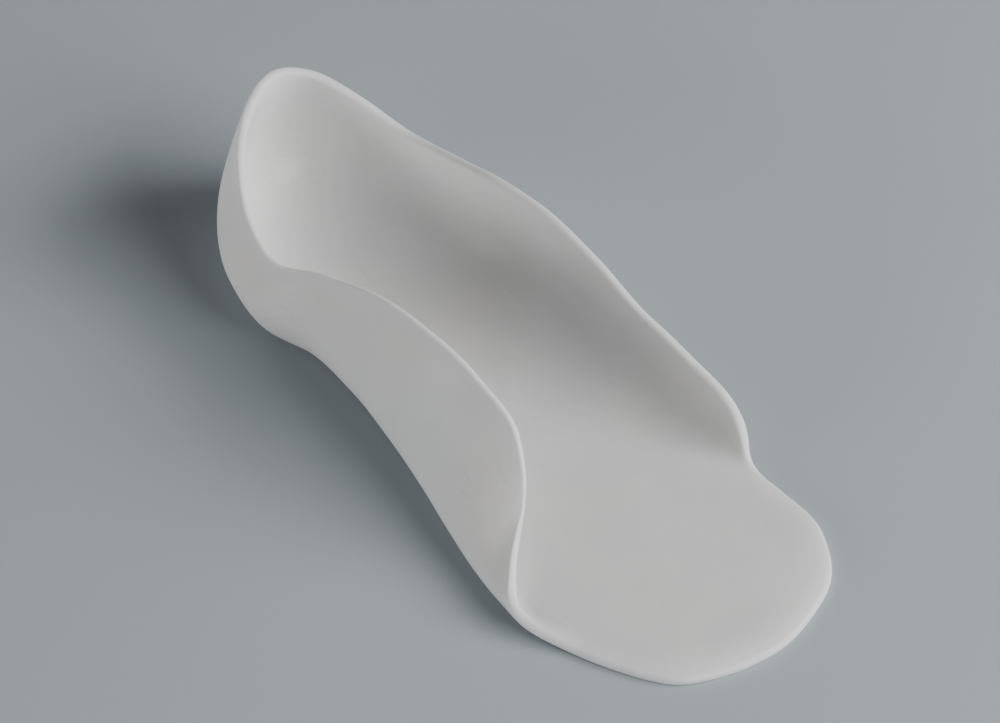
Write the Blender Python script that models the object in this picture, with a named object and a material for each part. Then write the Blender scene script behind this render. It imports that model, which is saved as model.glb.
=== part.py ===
"""Foot orthosis insert: one moulded shell with a heel cup, two side walls and a flat forefoot plate.

Metres, +Z up. The shell lies on the ground with its toes to +Y and its outer side to +X, as made for
a right foot, and its origin is under the middle of its bounding box.

The shell is one sheet. Ribs run out from a spine along its middle: along the bed to the foot of the
wall, round a fold and up the wall to the trimmed edge. The tables place the foot of the wall and the
edge at each rib, going round the shell, and smooth closed curves join them.
"""
from collections import namedtuple

import bmesh
import bpy
import numpy as np

# Overall sizes
LENGTH = 0.188
HEEL_WIDTH = 0.058
FOREFOOT_WIDTH = 0.073
WALL = 0.003

# Heights of the trimmed edge above the ground
HEEL_HEIGHT = 0.041
OUTER_HEIGHT = 0.034
INNER_HEIGHT = 0.031

# How far the edge stands inside or outside the foot of its wall, seen from above
HEEL_LEAN = 0.005
OUTER_LEAN = 0.017
INNER_FLARE = 0.006
PLATE_MARGIN = 0.006

# Form of the sheet
ARCH_LIFT = 0.006
FOLD_RADIUS = 0.016
WALL_BULGE = 0.003

# Most of a bed or a wall that its fold may take
FOLD_SHARE = 0.8

# Steps between two rows of a table, and along the bed, the fold, the wall and the rounded edge
ROW_STEPS = 3
BED_STEPS = 4
FOLD_STEPS = 5
WALL_STEPS = 4
EDGE_STEPS = 4

SHARP_DEGREES = 60

# A rib's row holds shares, in this order: across of half the width, + to the outer side; along of
# the length; lift of the arch's lift; lean of the zone's lean, + outwards; height of the zone's
# height; fold of the fold radius; bulge of the wall's bulge.
Rib = namedtuple("Rib", "across along lift lean height fold bulge")

# The heel cup, round its back from the inner side to the outer side
HEEL_RIBS = (
    Rib(-0.64, 0.086, 0.3, -0.60, 0.76, 0.90, 0.6),
    Rib(-0.37, 0.034, 0.3, -0.60, 0.90, 0.95, 0.8),
    Rib(-0.02, 0.021, 0.3, -0.75, 0.97, 1.00, 1.0),
    Rib(0.39, 0.049, 0.3, -1.00, 0.91, 1.00, 1.0),
    Rib(0.71, 0.101, 0.3, -1.10, 0.76, 0.95, 1.0),
)

# The outer wall, from the heel to the plate: low beside the heel, then a hump that leans inwards
OUTER_RIBS = (
    Rib(0.91, 0.160, 0.2, -0.36, 0.71, 0.90, 1.0),
    Rib(0.93, 0.240, 0.0, -0.30, 0.63, 0.75, 1.0),
    Rib(0.79, 0.320, 0.1, -0.40, 0.75, 0.75, 1.0),
    Rib(0.79, 0.405, 0.2, -0.60, 0.93, 0.75, 1.0),
    Rib(0.82, 0.490, 0.2, -0.79, 0.99, 0.70, 1.0),
    Rib(0.85, 0.575, 0.1, -1.00, 0.90, 0.60, 1.0),
    Rib(0.89, 0.650, 0.0, -1.12, 0.72, 0.50, 0.8),
    Rib(0.90, 0.717, 0.0, -0.78, 0.32, 0.36, 0.4),
    Rib(0.86, 0.775, 0.0, -0.23, 0.16, 0.25, 0.0),
)

# The plate, round its toe end from the outer side to the inner side
PLATE_RIBS = (
    Rib(0.80, 0.813, 0.0, 0.45, 0.09, 0.25, 0.0),
    Rib(0.61, 0.865, 0.0, 1.00, 0.00, 0.20, 0.0),
    Rib(0.40, 0.938, 0.0, 1.00, 0.00, 0.20, 0.0),
    Rib(0.14, 0.970, 0.0, 1.00, 0.00, 0.20, 0.0),
    Rib(-0.27, 0.976, 0.0, 1.00, 0.00, 0.20, 0.0),
    Rib(-0.68, 0.945, 0.0, 1.00, 0.00, 0.20, 0.0),
    Rib(-0.87, 0.891, 0.0, 1.00, 0.00, 0.20, 0.0),
    Rib(-0.88, 0.828, 0.0, 1.00, 0.00, 0.20, 0.0),
)

# The inner wall, from the plate back to the heel, with the lifted arch at its middle
INNER_RIBS = (
    Rib(-0.90, 0.770, 0.00, 0.60, 0.08, 0.25, 0.0),
    Rib(-0.94, 0.715, 0.05, 0.40, 0.40, 0.40, 0.6),
    Rib(-0.88, 0.650, 0.10, 0.60, 0.59, 0.80, 0.5),
    Rib(-0.82, 0.575, 0.40, 0.75, 0.74, 1.10, 0.1),
    Rib(-0.81, 0.490, 0.55, 0.76, 0.89, 1.30, 0.0),
    Rib(-0.80, 0.405, 0.55, 0.65, 1.00, 1.30, 0.3),
    Rib(-0.82, 0.320, 0.25, 0.23, 1.00, 1.20, 0.5),
    Rib(-0.82, 0.240, 0.00, -0.02, 0.91, 1.00, 0.6),
    Rib(-0.77, 0.160, 0.20, -0.15, 0.86, 1.00, 0.7),
)

# The spine, with a point for each pair of outer and inner ribs: along of the length, lift of the arch
SpinePoint = namedtuple("SpinePoint", "along lift")
SPINE = (
    SpinePoint(0.160, 0.00),
    SpinePoint(0.240, 0.00),
    SpinePoint(0.320, 0.05),
    SpinePoint(0.405, 0.10),
    SpinePoint(0.490, 0.10),
    SpinePoint(0.575, 0.05),
    SpinePoint(0.650, 0.00),
    SpinePoint(0.715, 0.00),
    SpinePoint(0.770, 0.00),
)

# Columns of a rib's row once it is in metres
ACROSS, ALONG, FOOT_Z, LEAN, EDGE_Z, FOLD, BULGE = range(7)


def unit(vectors):
    """Vectors scaled to length 1."""
    return vectors / np.linalg.norm(vectors, axis=-1, keepdims=True)


def closed_curve(rows, steps):
    """Points on a smooth closed curve through the rows, a Catmull-Rom spline."""
    share = (np.arange(steps) / steps)[None, :, None]
    before, here, after, later = (np.roll(rows, turn, axis=0)[:, None] for turn in (1, 0, -1, -2))
    slope = (after - before) / 2
    square = (2 * before - 5 * here + 4 * after - later) / 2
    cube = (3 * here - 3 * after + later - before) / 2
    points = here + slope * share + square * share ** 2 + cube * share ** 3
    return points.reshape(-1, rows.shape[1])


def open_curve(rows, steps):
    """Points on a smooth curve from the first row to the last."""
    first, last = 2 * rows[0] - rows[1], 2 * rows[-1] - rows[-2]
    points = closed_curve(np.vstack([first, rows, last]), steps)
    return points[steps:steps * len(rows) + 1]


def bend(start, control, end, steps):
    """Quadratic curves from start to end, one for each rib, without their first points."""
    share = (np.arange(1, steps + 1) / steps)[:, None, None]
    return (1 - share) ** 2 * start + 2 * share * (1 - share) * control + share ** 2 * end


def in_metres(ribs, half_width, lean, height):
    """A table's shares turned into real sizes."""
    across, along, lift, leans, heights, fold, bulge = np.array(ribs).T
    return np.column_stack([
        across * half_width,
        along * LENGTH,
        WALL + lift * ARCH_LIFT,
        leans * lean,
        WALL + heights * (height - WALL),
        fold * FOLD_RADIUS,
        bulge * WALL_BULGE,
    ])


def rib_rows():
    """Every rib's row in metres, once round the shell from the back of the heel's inner side."""
    half_heel, half_forefoot = HEEL_WIDTH / 2, FOREFOOT_WIDTH / 2
    half_widths = np.linspace(half_heel, half_forefoot, len(OUTER_RIBS))
    return np.vstack([
        in_metres(HEEL_RIBS, half_heel, HEEL_LEAN, HEEL_HEIGHT),
        in_metres(OUTER_RIBS, half_widths, OUTER_LEAN, OUTER_HEIGHT),
        in_metres(PLATE_RIBS, half_forefoot, PLATE_MARGIN, OUTER_HEIGHT),
        in_metres(INNER_RIBS, half_widths[::-1], INNER_FLARE, INNER_HEIGHT),
    ])


def spine_points():
    """Points on the bed's upper face along the middle of the shell."""
    along, lift = open_curve(np.array(SPINE), ROW_STEPS).T
    return np.column_stack([0 * along, along * LENGTH, WALL + np.maximum(lift, 0) * ARCH_LIFT])


def root_numbers(rib_count):
    """For each rib, the number of the spine point that it starts from."""
    number = np.arange(rib_count)
    first_outer = len(HEEL_RIBS) * ROW_STEPS
    last_inner = rib_count - ROW_STEPS
    last_point = (len(SPINE) - 1) * ROW_STEPS
    return np.clip(np.minimum(number - first_outer, last_inner - number), 0, last_point)


def upper_face(rows, spine, roots):
    """Points of the sheet's upper face: one layer for each step along the ribs, root to edge."""
    around = np.roll(rows[:, :2], -1, axis=0) - np.roll(rows[:, :2], 1, axis=0)
    outwards = unit(np.column_stack([around[:, 1], -around[:, 0], 0 * around[:, 0]]))
    root = spine[roots]
    foot = np.column_stack([rows[:, ACROSS], rows[:, ALONG], np.maximum(rows[:, FOOT_Z], WALL)])
    edge = foot + outwards * rows[:, LEAN, None]
    edge[:, 2] = np.maximum(rows[:, EDGE_Z], foot[:, 2])
    middle = (foot + edge) / 2 + outwards * rows[:, BULGE, None]
    edge = edge - unit(edge - middle) * WALL / 2

    bed_length = np.linalg.norm((foot - root)[:, :2], axis=1)
    wall_length = np.linalg.norm(middle - foot, axis=1)
    fold_inwards = np.minimum(rows[:, FOLD], FOLD_SHARE * bed_length)
    fold_upwards = np.minimum(rows[:, FOLD], FOLD_SHARE * wall_length)
    level_share = (1 - fold_inwards / bed_length) / 2
    below_foot = np.column_stack([foot[:, :2], root[:, 2]])
    level_end = root + (below_foot - root) * level_share[:, None]
    fold_start = foot - fold_inwards[:, None] * unit(foot - level_end)
    fold_end = foot + fold_upwards[:, None] * unit(middle - foot)
    return np.concatenate([
        root[None],
        bend(root, level_end, fold_start, BED_STEPS),
        bend(fold_start, foot, fold_end, FOLD_STEPS),
        bend(fold_end, middle, edge, WALL_STEPS),
    ])


def layers(upper):
    """All layers of the shell: its upper face, the rounded edge, then its lower face."""
    around = np.roll(upper, -1, axis=1) - np.roll(upper, 1, axis=1)
    outwards = np.gradient(upper, axis=0)
    normals = np.zeros_like(upper)
    normals[0, :, 2] = 1
    normals[1:] = unit(np.cross(outwards[1:], around[1:]))
    radius = WALL / 2
    centre = upper[-1] - normals[-1] * radius
    tip = unit(outwards[-1])
    angles = np.linspace(0, np.pi, EDGE_STEPS + 1)[1:-1]
    rounded = [centre + radius * (np.cos(a) * normals[-1] + np.sin(a) * tip) for a in angles]
    lower = upper - normals * WALL
    return np.concatenate([upper, rounded, lower[::-1]])


def shell_mesh():
    """The shell's closed mesh, with its origin under the middle of its bounding box."""
    rows = closed_curve(rib_rows(), ROW_STEPS)
    spine = spine_points()
    roots = root_numbers(len(rows))
    points = layers(upper_face(rows, spine, roots))
    flat = points.reshape(-1, 3)
    middle = (flat.min(axis=0) + flat.max(axis=0)) / 2
    middle[2] = 0
    points = points - middle
    spine = spine - middle

    mesh = bmesh.new()
    top = [mesh.verts.new(point) for point in spine]
    bottom = [mesh.verts.new(point - (0, 0, WALL)) for point in spine]
    rings = [[mesh.verts.new(point) for point in layer] for layer in points[1:-1]]
    for rib in range(len(rows)):
        after = (rib + 1) % len(rows)
        root, next_root = roots[rib], roots[after]
        strip = [(top[root], top[next_root])]
        strip += [(ring[rib], ring[after]) for ring in rings]
        strip += [(bottom[root], bottom[next_root])]
        for (here, beside), (on, on_beside) in zip(strip, strip[1:]):
            # At the heel and the toe end both ribs start from one spine point, which counts once
            corners = dict.fromkeys([here, on, on_beside, beside])
            mesh.faces.new(list(corners))
    data = bpy.data.meshes.new("shell")
    mesh.to_mesh(data)
    mesh.free()
    return data


def polypropylene():
    """White moulded plastic with a satin face."""
    material = bpy.data.materials.new("white_polypropylene")
    material.use_nodes = True
    shader = material.node_tree.nodes["Principled BSDF"]
    shader.inputs["Base Color"].default_value = (0.78, 0.78, 0.77, 1)
    shader.inputs["Roughness"].default_value = 0.45
    shader.inputs["Metallic"].default_value = 0
    return material


def build():
    """Make the shell in an empty scene."""
    for thing in list(bpy.data.objects):
        bpy.data.objects.remove(thing, do_unlink=True)
    data = shell_mesh()
    data.shade_smooth()
    data.set_sharp_from_angle(angle=np.radians(SHARP_DEGREES))
    data.materials.append(polypropylene())
    shell = bpy.data.objects.new("shell", data)
    bpy.context.scene.collection.objects.link(shell)


build()
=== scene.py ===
"""The look of a foot orthosis insert: one shell of white moulded plastic on a pale studio floor.

Metres, +Z up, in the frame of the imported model: toes to +Y, outer side to +X. The shell's sheet is
made again with fine steps from the same sections as its solid, with the slight waves that moulding
leaves in a heated sheet and an edge that was trimmed and sanded by hand.
"""
import math
from collections import namedtuple

import bmesh
import bpy
import numpy as np
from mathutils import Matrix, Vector, noise


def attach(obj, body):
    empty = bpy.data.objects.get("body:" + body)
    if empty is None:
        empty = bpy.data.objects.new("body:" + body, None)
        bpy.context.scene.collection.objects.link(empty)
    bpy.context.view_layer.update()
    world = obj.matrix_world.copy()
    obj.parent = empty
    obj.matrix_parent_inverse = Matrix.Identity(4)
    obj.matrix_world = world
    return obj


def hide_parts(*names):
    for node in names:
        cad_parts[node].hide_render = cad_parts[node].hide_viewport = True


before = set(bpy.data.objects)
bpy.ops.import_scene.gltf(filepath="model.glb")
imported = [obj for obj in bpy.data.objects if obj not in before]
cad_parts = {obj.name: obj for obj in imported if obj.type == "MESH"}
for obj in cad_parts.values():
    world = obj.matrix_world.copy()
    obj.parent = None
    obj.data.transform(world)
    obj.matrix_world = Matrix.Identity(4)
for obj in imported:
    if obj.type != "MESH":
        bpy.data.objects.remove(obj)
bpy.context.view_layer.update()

# Camera: where it looks on the ground, its bearing from +X towards +Y and its height angle, in
# degrees, and its distance
CAMERA_TARGET = Vector((-0.0090, -0.0116, 0))
CAMERA_BEARING = 54.1
CAMERA_ELEVATION = 44.9
CAMERA_DISTANCE = 0.75
# Focal length and sensor width, in millimetres
CAMERA_LENS = 115.9
CAMERA_SENSOR = 36

# Sizes of the shell, as its solid has them
LENGTH = 0.188
HEEL_WIDTH = 0.058
FOREFOOT_WIDTH = 0.073
WALL = 0.003
HEEL_HEIGHT = 0.041
OUTER_HEIGHT = 0.034
INNER_HEIGHT = 0.031
HEEL_LEAN = 0.005
OUTER_LEAN = 0.017
INNER_FLARE = 0.006
PLATE_MARGIN = 0.006
ARCH_LIFT = 0.006
FOLD_RADIUS = 0.016
WALL_BULGE = 0.003
# Most of a bed or a wall that its fold may take
FOLD_SHARE = 0.8

# Steps between two rows of a table, and along the bed, the fold, the wall and the sanded edge
ROW_STEPS = 12
BED_STEPS = 16
FOLD_STEPS = 16
WALL_STEPS = 16
EDGE_STEPS = 10

# The sanded edge: a squared round, 2 would be a half circle
EDGE_SQUARENESS = 2.3
# Sanding thins the sheet by this depth, over this width along its whole edge
EDGE_THINNING_WIDTH = 0.007
EDGE_THINNING_DEPTH = 0.0007
# How far the trimmed line wanders, and over what lengths
TRIM_WANDER = 0.00035
TRIM_WAVE = 0.011
# Waves that moulding leaves in the sheet: height and length, long and short
LONG_WAVE = (0.00030, 0.034)
SHORT_WAVE = (0.00010, 0.012)
# Height over which the waves fade out towards the flat underside
WAVE_FADE = 0.006
# The toe end is sanded thinner on top over this width, by this depth
TOE_BEVEL_WIDTH = 0.006
TOE_BEVEL_DEPTH = 0.0009
# Where the toe end's bevel begins and is whole, as shares of the length
TOE_BEVEL_FROM, TOE_BEVEL_WHOLE = 0.80, 0.92

# A rib's row holds shares, in this order: across of half the width, + to the outer side; along of
# the length; lift of the arch's lift; lean of the zone's lean, + outwards; height of the zone's
# height; fold of the fold radius; bulge of the wall's bulge. The tables go once round the shell.
Rib = namedtuple("Rib", "across along lift lean height fold bulge")
HEEL_RIBS = (
    Rib(-0.64, 0.086, 0.3, -0.60, 0.76, 0.90, 0.6),
    Rib(-0.37, 0.034, 0.3, -0.60, 0.90, 0.95, 0.8),
    Rib(-0.02, 0.021, 0.3, -0.75, 0.97, 1.00, 1.0),
    Rib(0.39, 0.049, 0.3, -1.00, 0.91, 1.00, 1.0),
    Rib(0.71, 0.101, 0.3, -1.10, 0.76, 0.95, 1.0),
)
OUTER_RIBS = (
    Rib(0.91, 0.160, 0.2, -0.36, 0.71, 0.90, 1.0),
    Rib(0.93, 0.240, 0.0, -0.30, 0.63, 0.75, 1.0),
    Rib(0.79, 0.320, 0.1, -0.40, 0.75, 0.75, 1.0),
    Rib(0.79, 0.405, 0.2, -0.60, 0.93, 0.75, 1.0),
    Rib(0.82, 0.490, 0.2, -0.79, 0.99, 0.70, 1.0),
    Rib(0.85, 0.575, 0.1, -1.00, 0.90, 0.60, 1.0),
    Rib(0.89, 0.650, 0.0, -1.12, 0.72, 0.50, 0.8),
    Rib(0.90, 0.717, 0.0, -0.78, 0.32, 0.36, 0.4),
    Rib(0.86, 0.775, 0.0, -0.23, 0.16, 0.25, 0.0),
)
PLATE_RIBS = (
    Rib(0.80, 0.813, 0.0, 0.45, 0.09, 0.25, 0.0),
    Rib(0.61, 0.865, 0.0, 1.00, 0.00, 0.20, 0.0),
    Rib(0.40, 0.938, 0.0, 1.00, 0.00, 0.20, 0.0),
    Rib(0.14, 0.970, 0.0, 1.00, 0.00, 0.20, 0.0),
    Rib(-0.27, 0.976, 0.0, 1.00, 0.00, 0.20, 0.0),
    Rib(-0.68, 0.945, 0.0, 1.00, 0.00, 0.20, 0.0),
    Rib(-0.87, 0.891, 0.0, 1.00, 0.00, 0.20, 0.0),
    Rib(-0.88, 0.828, 0.0, 1.00, 0.00, 0.20, 0.0),
)
INNER_RIBS = (
    Rib(-0.90, 0.770, 0.00, 0.60, 0.08, 0.25, 0.0),
    Rib(-0.94, 0.715, 0.05, 0.40, 0.40, 0.40, 0.6),
    Rib(-0.88, 0.650, 0.10, 0.60, 0.59, 0.80, 0.5),
    Rib(-0.82, 0.575, 0.40, 0.75, 0.74, 1.10, 0.1),
    Rib(-0.81, 0.490, 0.55, 0.76, 0.89, 1.30, 0.0),
    Rib(-0.80, 0.405, 0.55, 0.65, 1.00, 1.30, 0.3),
    Rib(-0.82, 0.320, 0.25, 0.23, 1.00, 1.20, 0.5),
    Rib(-0.82, 0.240, 0.00, -0.02, 0.91, 1.00, 0.6),
    Rib(-0.77, 0.160, 0.20, -0.15, 0.86, 1.00, 0.7),
)
# The spine, with a point for each pair of outer and inner ribs
SpinePoint = namedtuple("SpinePoint", "along lift")
SPINE = (
    SpinePoint(0.160, 0.00),
    SpinePoint(0.240, 0.00),
    SpinePoint(0.320, 0.05),
    SpinePoint(0.405, 0.10),
    SpinePoint(0.490, 0.10),
    SpinePoint(0.575, 0.05),
    SpinePoint(0.650, 0.00),
    SpinePoint(0.715, 0.00),
    SpinePoint(0.770, 0.00),
)
# Columns of a rib's row once it is in metres
ACROSS, ALONG, FOOT_Z, LEAN, EDGE_Z, FOLD, BULGE = range(7)


def unit(vectors):
    """Vectors scaled to length 1."""
    return vectors / np.linalg.norm(vectors, axis=-1, keepdims=True)


def closed_curve(rows, steps):
    """Points on a smooth closed curve through the rows, a Catmull-Rom spline."""
    share = (np.arange(steps) / steps)[None, :, None]
    before, here, after, later = (np.roll(rows, turn, axis=0)[:, None] for turn in (1, 0, -1, -2))
    slope = (after - before) / 2
    square = (2 * before - 5 * here + 4 * after - later) / 2
    cube = (3 * here - 3 * after + later - before) / 2
    points = here + slope * share + square * share ** 2 + cube * share ** 3
    return points.reshape(-1, rows.shape[1])


def open_curve(rows, steps):
    """Points on a smooth curve from the first row to the last."""
    first, last = 2 * rows[0] - rows[1], 2 * rows[-1] - rows[-2]
    points = closed_curve(np.vstack([first, rows, last]), steps)
    return points[steps:steps * len(rows) + 1]


def bend(start, control, end, steps):
    """Quadratic curves from start to end, one for each rib, without their first points."""
    share = (np.arange(1, steps + 1) / steps)[:, None, None]
    return (1 - share) ** 2 * start + 2 * share * (1 - share) * control + share ** 2 * end


def in_metres(ribs, half_width, lean, height):
    """A table's shares turned into real sizes."""
    across, along, lift, leans, heights, fold, bulge = np.array(ribs).T
    return np.column_stack([
        across * half_width,
        along * LENGTH,
        WALL + lift * ARCH_LIFT,
        leans * lean,
        WALL + heights * (height - WALL),
        fold * FOLD_RADIUS,
        bulge * WALL_BULGE,
    ])


def rib_rows():
    """Every rib's row in metres, once round the shell from the back of the heel's inner side."""
    half_heel, half_forefoot = HEEL_WIDTH / 2, FOREFOOT_WIDTH / 2
    half_widths = np.linspace(half_heel, half_forefoot, len(OUTER_RIBS))
    return np.vstack([
        in_metres(HEEL_RIBS, half_heel, HEEL_LEAN, HEEL_HEIGHT),
        in_metres(OUTER_RIBS, half_widths, OUTER_LEAN, OUTER_HEIGHT),
        in_metres(PLATE_RIBS, half_forefoot, PLATE_MARGIN, OUTER_HEIGHT),
        in_metres(INNER_RIBS, half_widths[::-1], INNER_FLARE, INNER_HEIGHT),
    ])


def spine_points():
    """Points on the bed's upper face along the middle of the shell."""
    along, lift = open_curve(np.array(SPINE), ROW_STEPS).T
    return np.column_stack([0 * along, along * LENGTH, WALL + np.maximum(lift, 0) * ARCH_LIFT])


def root_numbers(rib_count):
    """For each rib, the number of the spine point that it starts from."""
    number = np.arange(rib_count)
    first_outer = len(HEEL_RIBS) * ROW_STEPS
    last_inner = rib_count - ROW_STEPS
    last_point = (len(SPINE) - 1) * ROW_STEPS
    return np.clip(np.minimum(number - first_outer, last_inner - number), 0, last_point)


def trimmed(edge, middle):
    """The edge pulled back for its rounding, with the small wander of a line trimmed by hand."""
    room = np.linalg.norm(edge - middle, axis=1) - WALL / 2
    wander = np.array([noise.noise(Vector(point) / TRIM_WAVE) for point in edge])
    step = wander * np.clip(room, 0, TRIM_WANDER) - WALL / 2
    return edge + unit(edge - middle) * step[:, None]


def upper_face(rows, spine, roots):
    """Points of the sheet's upper face: one layer for each step along the ribs, root to edge."""
    around = np.roll(rows[:, :2], -1, axis=0) - np.roll(rows[:, :2], 1, axis=0)
    outwards = unit(np.column_stack([around[:, 1], -around[:, 0], 0 * around[:, 0]]))
    root = spine[roots]
    foot = np.column_stack([rows[:, ACROSS], rows[:, ALONG], np.maximum(rows[:, FOOT_Z], WALL)])
    edge = foot + outwards * rows[:, LEAN, None]
    edge[:, 2] = np.maximum(rows[:, EDGE_Z], foot[:, 2])
    middle = (foot + edge) / 2 + outwards * rows[:, BULGE, None]
    edge = trimmed(edge, middle)

    bed_length = np.linalg.norm((foot - root)[:, :2], axis=1)
    wall_length = np.linalg.norm(middle - foot, axis=1)
    fold_inwards = np.minimum(rows[:, FOLD], FOLD_SHARE * bed_length)
    fold_upwards = np.minimum(rows[:, FOLD], FOLD_SHARE * wall_length)
    level_share = (1 - fold_inwards / bed_length) / 2
    below_foot = np.column_stack([foot[:, :2], root[:, 2]])
    level_end = root + (below_foot - root) * level_share[:, None]
    fold_start = foot - fold_inwards[:, None] * unit(foot - level_end)
    fold_end = foot + fold_upwards[:, None] * unit(middle - foot)
    return np.concatenate([
        root[None],
        bend(root, level_end, fold_start, BED_STEPS),
        bend(fold_start, foot, fold_end, FOLD_STEPS),
        bend(fold_end, middle, edge, WALL_STEPS),
    ])


def face_normals(upper):
    """Normals of the upper face, with straight up at the spine."""
    around = np.roll(upper, -1, axis=1) - np.roll(upper, 1, axis=1)
    outwards = np.gradient(upper, axis=0)
    normals = np.zeros_like(upper)
    normals[0, :, 2] = 1
    normals[1:] = unit(np.cross(outwards[1:], around[1:]))
    return normals


def moulding_waves(upper):
    """How far each point of the sheet stands off its true form, none where it lies on the ground."""
    waves = np.zeros(upper.shape[:2])
    for height, length in (LONG_WAVE, SHORT_WAVE):
        values = [noise.noise(Vector(point) / length) for point in upper.reshape(-1, 3)]
        waves += height * np.array(values).reshape(waves.shape)
    return waves * np.clip((upper[:, :, 2] - WALL) / WAVE_FADE, 0, 1)


def sanded_off(upper):
    """How much of the sheet's thickness is sanded off on top, all along its edge and at the toe end."""
    from_edge = np.linalg.norm(upper - upper[-1], axis=-1)
    thinning = EDGE_THINNING_DEPTH * np.clip(1 - from_edge / EDGE_THINNING_WIDTH, 0, 1) ** 2
    bevel = TOE_BEVEL_DEPTH * np.clip(1 - from_edge / TOE_BEVEL_WIDTH, 0, 1) ** 2
    along = upper[-1, :, 1] / LENGTH
    at_toe = np.clip((along - TOE_BEVEL_FROM) / (TOE_BEVEL_WHOLE - TOE_BEVEL_FROM), 0, 1)
    return np.maximum(thinning, bevel * at_toe)


def squared_round(angle):
    """Point at an angle on the edge's section, over the thickness and past the sheet's end."""
    power = 2 / EDGE_SQUARENESS
    over, past = math.cos(angle), math.sin(angle)
    return math.copysign(abs(over) ** power, over), abs(past) ** power


def layers(upper):
    """All layers of the shell, its upper face, the sanded edge and its lower face."""
    upper = upper + face_normals(upper) * moulding_waves(upper)[:, :, None]
    normals = face_normals(upper)
    lower = upper - normals * WALL
    upper = upper - normals * sanded_off(upper)[:, :, None]
    centre = (upper[-1] + lower[-1]) / 2
    radius = np.linalg.norm(upper[-1] - lower[-1], axis=-1)[:, None] / 2
    tip = unit(upper[-1] - upper[-2])
    rounded = []
    for angle in np.linspace(0, math.pi, EDGE_STEPS + 1)[1:-1]:
        over, past = squared_round(angle)
        rounded.append(centre + radius * (over * normals[-1] + past * tip))
    return np.concatenate([upper, rounded, lower[::-1]])


def edge_nearness(points, centre):
    """1 on the sanded edge, falling to 0 within one wall's thickness of it."""
    gap = np.linalg.norm(points - centre, axis=-1)
    return np.clip(1 - (gap - WALL / 2) / WALL, 0, 1)


def shell_mesh():
    """The shell's closed mesh, placed as its solid is, with the sanded edge named for the material."""
    rows = closed_curve(rib_rows(), ROW_STEPS)
    roots = root_numbers(len(rows))
    points = layers(upper_face(rows, spine_points(), roots))
    half = BED_STEPS + FOLD_STEPS + WALL_STEPS
    nearness = edge_nearness(points, (points[half] + points[-1 - half]) / 2)
    flat = points.reshape(-1, 3)
    middle = (flat.min(axis=0) + flat.max(axis=0)) / 2
    middle[2] = 0
    points = points - middle

    mesh = bmesh.new()
    edge = mesh.verts.layers.float.new("edge")
    first_rib = {root: rib for rib, root in reversed(list(enumerate(roots)))}
    top = {root: mesh.verts.new(points[0, rib]) for root, rib in first_rib.items()}
    bottom = {root: mesh.verts.new(points[-1, rib]) for root, rib in first_rib.items()}
    rings = [[mesh.verts.new(point) for point in layer] for layer in points[1:-1]]
    for ring, values in zip(rings, nearness[1:-1]):
        for vertex, value in zip(ring, values):
            vertex[edge] = value
    for rib in range(len(rows)):
        after = (rib + 1) % len(rows)
        strip = [(top[roots[rib]], top[roots[after]])]
        strip += [(ring[rib], ring[after]) for ring in rings]
        strip += [(bottom[roots[rib]], bottom[roots[after]])]
        for (here, beside), (on, on_beside) in zip(strip, strip[1:]):
            # At the heel and the toe end both ribs start from one spine point, which counts once
            mesh.faces.new(list(dict.fromkeys([here, on, on_beside, beside])))
    data = bpy.data.meshes.new("shell_sheet")
    mesh.to_mesh(data)
    mesh.free()
    data.shade_smooth()
    return data


class NodeGraph:
    """Short calls for adding and joining a material's nodes."""

    def __init__(self, name):
        self.material = bpy.data.materials.new(name)
        self.material.use_nodes = True
        self.tree = self.material.node_tree
        self.shader = self.tree.nodes["Principled BSDF"]

    def add(self, kind, settings=None, **inputs):
        """A node with its settings and inputs; an input that is a socket is joined to it."""
        node = self.tree.nodes.new(kind)
        for key, value in (settings or {}).items():
            setattr(node, key, value)
        for key, value in inputs.items():
            self.put(node, key.replace("_", " "), value)
        return node

    def put(self, node, key, value):
        """Sets or joins one input of a node."""
        socket = node.inputs[int(key)] if key.isdigit() else node.inputs[key]
        if isinstance(value, bpy.types.NodeSocket):
            self.tree.links.new(value, socket)
        else:
            socket.default_value = value

    def noise(self, place, scale, detail=2.0, roughness=0.5):
        """Soft noise from 0 to 1 at a place."""
        settings = dict(Vector=place, Scale=scale, Detail=detail, Roughness=roughness)
        return self.add("ShaderNodeTexNoise", **settings).outputs["Fac"]

    def turned(self, place, scales, turn):
        """A place stretched by a scale along each axis and turned, for a pattern to be drawn on."""
        mapping = self.add("ShaderNodeMapping", Vector=place, Scale=scales, Rotation=turn)
        return mapping.outputs["Vector"]

    def spread(self, value, low, high, to_low, to_high):
        """A value from one range put into another, kept inside it."""
        node = self.add("ShaderNodeMapRange", {"clamp": True}, Value=value)
        ends = {"From Min": low, "From Max": high, "To Min": to_low, "To Max": to_high}
        for key, number in ends.items():
            self.put(node, key, number)
        return node.outputs["Result"]

    def blend(self, share, first, second):
        """Two colours mixed by a share."""
        node = self.add("ShaderNodeMix", {"data_type": "RGBA"})
        for number, value in ((0, share), (6, first), (7, second)):
            self.put(node, str(number), value)
        return node.outputs[2]

    def maths(self, operation, first, second):
        """One sum on two values."""
        node = self.add("ShaderNodeMath", {"operation": operation})
        self.put(node, "0", first)
        self.put(node, "1", second)
        return node.outputs["Value"]

    def bump(self, height, depth, strength, before=None):
        """A bump of that depth in metres, on top of the one before."""
        node = self.add("ShaderNodeBump", Height=height, Distance=depth, Strength=strength)
        if before is not None:
            self.put(node, "Normal", before)
        return node.outputs["Normal"]


# The plastic's colours, as linear shares of white
SHEET_WHITE = (0.750, 0.760, 0.757, 1)
SHEET_GREY = (0.700, 0.706, 0.704, 1)
SHEET_WARM = (0.765, 0.745, 0.725, 1)
SANDED_WHITE = (0.735, 0.737, 0.732, 1)
SCUFF_GREY = (0.640, 0.642, 0.640, 1)
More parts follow.
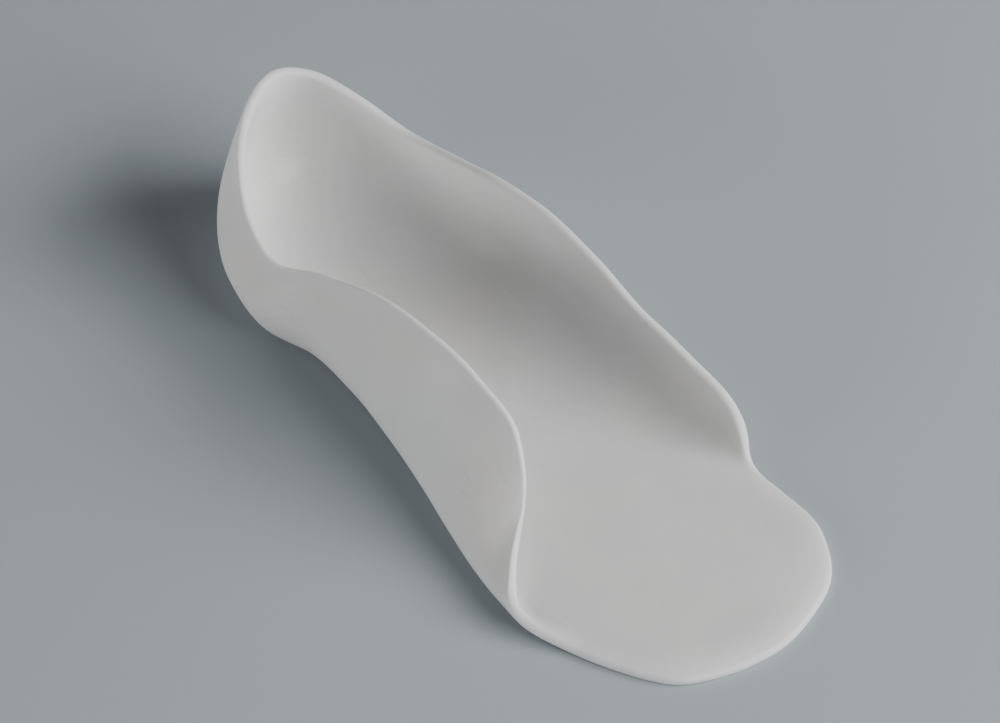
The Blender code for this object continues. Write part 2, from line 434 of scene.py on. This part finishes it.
# Patterns in the plastic, in repeats per metre
TINT_SCALE = 20
PATCH_SCALE = 38
MOTTLE_SCALE = 55
GLOSS_SCALE = 70
RIPPLE_SCALE = 160
RAGGED_SCALE = 420
SKIN_SCALE = 1500
SKIN_HARSHNESS = 0.6
GRIT_SCALES = (2600, 2600, 5200)
# Two families of fine scratches: repeats per metre and turn about each axis, in radians
SCRATCH_SCALES, SCRATCH_TURN = (900, 90, 600), (0.3, 0.2, 0.5)
CROSS_SCALES, CROSS_TURN = (110, 1000, 700), (0.1, 0.6, -0.7)
# The part of a noise's range that each pattern spreads from none to whole
NOISE_RANGE = (0.30, 0.70)
TINT_RANGE = (0.38, 0.62)
MOTTLE_RANGE = (0.35, 0.65)
SCRATCH_RANGE = (0.66, 0.72)
CROSS_RANGE = (0.67, 0.73)
PATCH_RANGE = (0.50, 0.62)
SANDED_RANGE = (0.35, 0.75)
# How far each colour covers the one below, and how ragged the sanded edge's border is
MOTTLE_COVER = 0.8
SCUFF_COVER = 0.5
SANDED_COVER = 0.8
RAGGEDNESS = 0.25
# Roughness of the sheet from glossy to dull, of the sanded edge, and what a scuff adds
SHEET_ROUGHNESS = (0.36, 0.50)
SANDED_ROUGHNESS = 0.68
SCUFF_ROUGHNESS = 0.12
# Bumps: depth in metres and strength
RIPPLE_BUMP = (0.00020, 0.5)
SKIN_BUMP = (0.00006, 0.5)
SCUFF_BUMP = (-0.00006, 0.5)
SANDING_BUMP = (0.00006, 0.6)
# How the plastic bends light and how far light goes into it, in metres, red deepest
PLASTIC_IOR = 1.49
SCATTER_WEIGHT = 0.35
SCATTER_REACH = (1.0, 0.95, 0.85)
SCATTER_DEPTH = 0.003


def moulded_plastic():
    """White polypropylene: satin, a little see-in, faintly mottled, scuffed, and sanded at its edge."""
    graph = NodeGraph("moulded_polypropylene")
    place = graph.add("ShaderNodeTexCoord").outputs["Object"]
    edge = graph.add("ShaderNodeAttribute", {"attribute_name": "edge"}).outputs["Fac"]

    tint = graph.spread(graph.noise(place, TINT_SCALE, 1), *TINT_RANGE, 0, 1)
    colour = graph.blend(tint, SHEET_WHITE, SHEET_WARM)
    mottle = graph.spread(graph.noise(place, MOTTLE_SCALE, 3), *MOTTLE_RANGE, 0, MOTTLE_COVER)
    colour = graph.blend(mottle, colour, SHEET_GREY)
    along = graph.turned(place, SCRATCH_SCALES, SCRATCH_TURN)
    across = graph.turned(place, CROSS_SCALES, CROSS_TURN)
    scratch_one = graph.spread(graph.noise(along, 1, 1), *SCRATCH_RANGE, 0, 1)
    scratch_two = graph.spread(graph.noise(across, 1, 1), *CROSS_RANGE, 0, 1)
    patches = graph.spread(graph.noise(place, PATCH_SCALE, 2), *PATCH_RANGE, 0, 1)
    scuffs = graph.maths("MULTIPLY", graph.maths("MAXIMUM", scratch_one, scratch_two), patches)
    colour = graph.blend(graph.maths("MULTIPLY", scuffs, SCUFF_COVER), colour, SCUFF_GREY)
    ragged = graph.spread(graph.noise(place, RAGGED_SCALE, 3), *NOISE_RANGE, -RAGGEDNESS, RAGGEDNESS)
    sanded = graph.spread(graph.maths("ADD", edge, ragged), *SANDED_RANGE, 0, 1)
    colour = graph.blend(graph.maths("MULTIPLY", sanded, SANDED_COVER), colour, SANDED_WHITE)

    sheet_roughness = graph.spread(graph.noise(place, GLOSS_SCALE, 3), *NOISE_RANGE, *SHEET_ROUGHNESS)
    edge_roughness = graph.maths("MULTIPLY", sanded, SANDED_ROUGHNESS)
    roughness = graph.maths("MAXIMUM", sheet_roughness, edge_roughness)
    roughness = graph.maths("ADD", roughness, graph.maths("MULTIPLY", scuffs, SCUFF_ROUGHNESS))

    skin = graph.noise(place, SKIN_SCALE, 3, SKIN_HARSHNESS)
    ripple = graph.noise(place, RIPPLE_SCALE, 2)
    grit = graph.turned(place, GRIT_SCALES, (0, 0, 0))
    sanding = graph.maths("MULTIPLY", graph.noise(grit, 1, 2), sanded)
    normal = graph.bump(ripple, *RIPPLE_BUMP)
    normal = graph.bump(skin, *SKIN_BUMP, normal)
    normal = graph.bump(scuffs, *SCUFF_BUMP, normal)
    normal = graph.bump(sanding, *SANDING_BUMP, normal)

    graph.put(graph.shader, "Base Color", colour)
    graph.put(graph.shader, "Roughness", roughness)
    graph.put(graph.shader, "Normal", normal)
    graph.put(graph.shader, "IOR", PLASTIC_IOR)
    graph.put(graph.shader, "Subsurface Weight", SCATTER_WEIGHT)
    graph.put(graph.shader, "Subsurface Radius", SCATTER_REACH)
    graph.put(graph.shader, "Subsurface Scale", SCATTER_DEPTH)
    return graph.material


FLOOR_COLOUR = (0.395, 0.440, 0.470, 1)
FLOOR_SHADE = (0.380, 0.428, 0.460, 1)
FLOOR_MOTTLE_SCALE = 9
FLOOR_GRAIN_SCALE = 900
FLOOR_ROUGHNESS = (0.78, 0.90)
FLOOR_BUMP = (0.0001, 0.25)
FLOOR_SIZE = 6
# The floor lies a hair below the shell, so that the two faces don't coincide
FLOOR_GAP = 0.0001


def pale_floor():
    """The studio's floor: pale, matt and barely mottled, with a fine grain."""
    graph = NodeGraph("pale_floor")
    place = graph.add("ShaderNodeTexCoord").outputs["Object"]
    mottle = graph.spread(graph.noise(place, FLOOR_MOTTLE_SCALE, 3), *NOISE_RANGE, 0, 1)
    graph.put(graph.shader, "Base Color", graph.blend(mottle, FLOOR_COLOUR, FLOOR_SHADE))
    grain = graph.noise(place, FLOOR_GRAIN_SCALE, 2)
    graph.put(graph.shader, "Roughness", graph.spread(grain, *NOISE_RANGE, *FLOOR_ROUGHNESS))
    graph.put(graph.shader, "Normal", graph.bump(grain, *FLOOR_BUMP))
    return graph.material


# Lights: bearing from +X towards +Y and height angle, in degrees, distance, width, height and watts
Lamp = namedtuple("Lamp", "name bearing elevation distance width height power")
LAMPS = (
    Lamp("key", 125, 32, 1.4, 1.5, 0.7, 29),
    Lamp("side", 150, 30, 1.4, 0.8, 0.6, 6),
    Lamp("fill", 0, 11, 1.4, 0.9, 0.45, 8),
    Lamp("heel", -70, 6, 1.4, 0.5, 0.2, 5),
)
SKY_COLOUR = (0.92, 0.96, 1.0, 1)
SKY_STRENGTH = 0.03


def direction(bearing, elevation):
    """Unit vector towards a bearing and a height angle, in degrees."""
    turn, rise = math.radians(bearing), math.radians(elevation)
    return Vector((math.cos(turn) * math.cos(rise), math.sin(turn) * math.cos(rise), math.sin(rise)))


def aim(thing, place, target):
    """Puts a camera or lamp at a place, looking at the target."""
    thing.location = place
    thing.rotation_euler = (target - place).to_track_quat("-Z", "Y").to_euler()


def add_object(name, data):
    """A new object in the scene."""
    thing = bpy.data.objects.new(name, data)
    bpy.context.scene.collection.objects.link(thing)
    return thing


def add_camera():
    """The camera, at the photograph's angle."""
    data = bpy.data.cameras.new("camera")
    data.lens = CAMERA_LENS
    data.sensor_width = CAMERA_SENSOR
    camera = add_object("camera", data)
    away = direction(CAMERA_BEARING, CAMERA_ELEVATION) * CAMERA_DISTANCE
    aim(camera, CAMERA_TARGET + away, CAMERA_TARGET)
    bpy.context.scene.camera = camera


def add_lamps():
    """Soft lamps and an even sky."""
    for lamp in LAMPS:
        data = bpy.data.lights.new(lamp.name, "AREA")
        data.shape = "RECTANGLE"
        data.size, data.size_y = lamp.width, lamp.height
        data.energy = lamp.power
        place = direction(lamp.bearing, lamp.elevation) * lamp.distance
        aim(add_object(lamp.name, data), place, Vector((0, 0, 0)))
    world = bpy.data.worlds.new("sky")
    world.use_nodes = True
    background = world.node_tree.nodes["Background"]
    background.inputs["Color"].default_value = SKY_COLOUR
    background.inputs["Strength"].default_value = SKY_STRENGTH
    bpy.context.scene.world = world


def add_floor():
    """A wide plane just under the shell."""
    mesh = bmesh.new()
    bmesh.ops.create_grid(mesh, x_segments=1, y_segments=1, size=FLOOR_SIZE / 2)
    data = bpy.data.meshes.new("floor")
    mesh.to_mesh(data)
    mesh.free()
    data.materials.append(pale_floor())
    floor = add_object("floor", data)
    floor.location.z = -FLOOR_GAP


def add_shell():
    """The dressed shell, in place of its solid."""
    data = shell_mesh()
    data.materials.append(moulded_plastic())
    shell = add_object("shell_sheet", data)
    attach(shell, "root")
    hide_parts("shell")


add_camera()
add_lamps()
add_floor()
add_shell()
